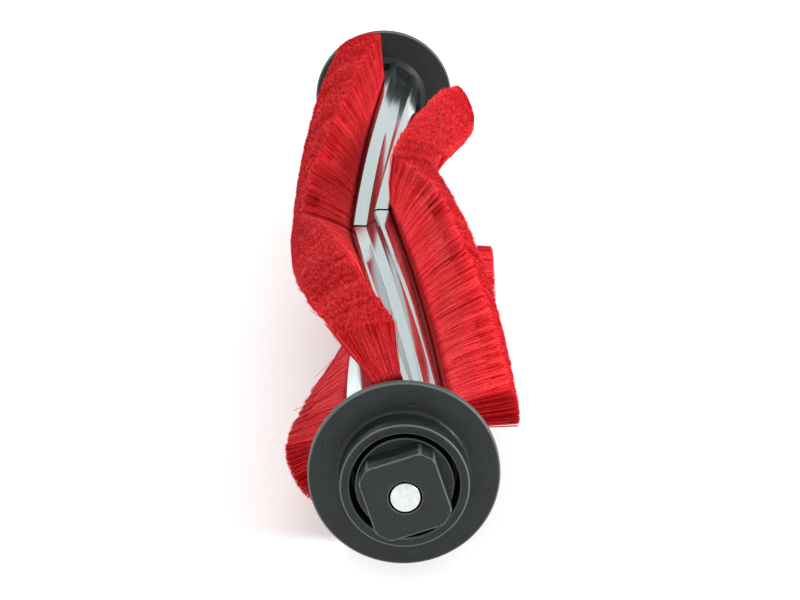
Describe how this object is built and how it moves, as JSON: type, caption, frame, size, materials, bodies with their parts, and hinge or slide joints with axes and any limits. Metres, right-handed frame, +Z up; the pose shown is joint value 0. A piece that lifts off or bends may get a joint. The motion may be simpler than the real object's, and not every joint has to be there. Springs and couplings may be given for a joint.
{
  "type": "carpet sweeper brush roll",
  "caption": "Motor-driven carpet sweeper brush roll: twisted metal core, chevron bristle strips, flanged ends, axle in ball bearings held by square seat blocks.",
  "frame": {"origin": "centre of the whole roll's bounding box, on the roll's turning axis", "axes": "+X along the turning axis from the collared near end to the pulley end, +Z up, +Y completes the right-handed frame"},
  "size_m": [0.3374, 0.049, 0.049],
  "materials": {
    "bristle_red": "dense cut nylon pile",
    "backing_dark": "woven backing",
    "core_aluminium": "bright drawn",
    "black_plastic": "fine moulded satin",
    "dark_plastic": "matt",
    "cage_plastic": "natural nylon",
    "axle_steel": "ground",
    "bearing_steel": "polished",
    "plain_steel": "plain"
  },
  "bodies": {
    "near_seat": {"seat_block_near": "black_plastic", "outer_ring_near": "bearing_steel", "shields_near": "plain_steel"},
    "near_ball_set": {"balls_near": "bearing_steel", "cage_near": "cage_plastic"},
    "roller": {"axle": "axle_steel", "core_near": "core_aluminium", "core_far": "core_aluminium", "core_joiner": "dark_plastic", "end_cap_near": "black_plastic", "end_cap_far": "black_plastic", "strip_backing_near_1": "backing_dark", "strip_backing_near_2": "backing_dark", "strip_backing_near_3": "backing_dark", "strip_backing_near_4": "backing_dark", "strip_backing_far_1": "backing_dark", "strip_backing_far_2": "backing_dark", "strip_backing_far_3": "backing_dark", "strip_backing_far_4": "backing_dark", "bristle_strip_near_1": "bristle_red", "bristle_strip_near_2": "bristle_red", "bristle_strip_near_3": "bristle_red", "bristle_strip_near_4": "bristle_red", "bristle_strip_far_1": "bristle_red", "bristle_strip_far_2": "bristle_red", "bristle_strip_far_3": "bristle_red", "bristle_strip_far_4": "bristle_red", "drive_pulley": "dark_plastic", "pulley_guide": "plain_steel", "spacer_near": "plain_steel", "inner_ring_near": "bearing_steel", "retaining_clip_near": "plain_steel", "spacer_far": "plain_steel", "inner_ring_far": "bearing_steel", "retaining_clip_far": "plain_steel"},
    "far_seat": {"seat_block_far": "black_plastic", "outer_ring_far": "bearing_steel", "shields_far": "plain_steel"},
    "far_ball_set": {"balls_far": "bearing_steel", "cage_far": "cage_plastic"}
  },
  "joints": [
    {"name": "roller_spin", "type": "hinge", "parent": "near_seat", "child": "roller", "pos_m": [0, 0, 0], "axis": [1, 0, 0], "continuous": true},
    {"name": "near_ball_orbit", "type": "hinge", "parent": "near_seat", "child": "near_ball_set", "pos_m": [0, 0, 0], "axis": [1, 0, 0], "continuous": true},
    {"name": "far_seat_spin", "type": "hinge", "parent": "roller", "child": "far_seat", "pos_m": [0, 0, 0], "axis": [1, 0, 0], "continuous": true},
    {"name": "far_ball_orbit", "type": "hinge", "parent": "roller", "child": "far_ball_set", "pos_m": [0, 0, 0], "axis": [1, 0, 0], "continuous": true}
  ],
  "couplings": [
    {"joint": "near_ball_orbit", "follows": "roller_spin", "ratio": 0.3714},
    {"joint": "far_ball_orbit", "follows": "far_seat_spin", "ratio": 0.6286}
  ]
}
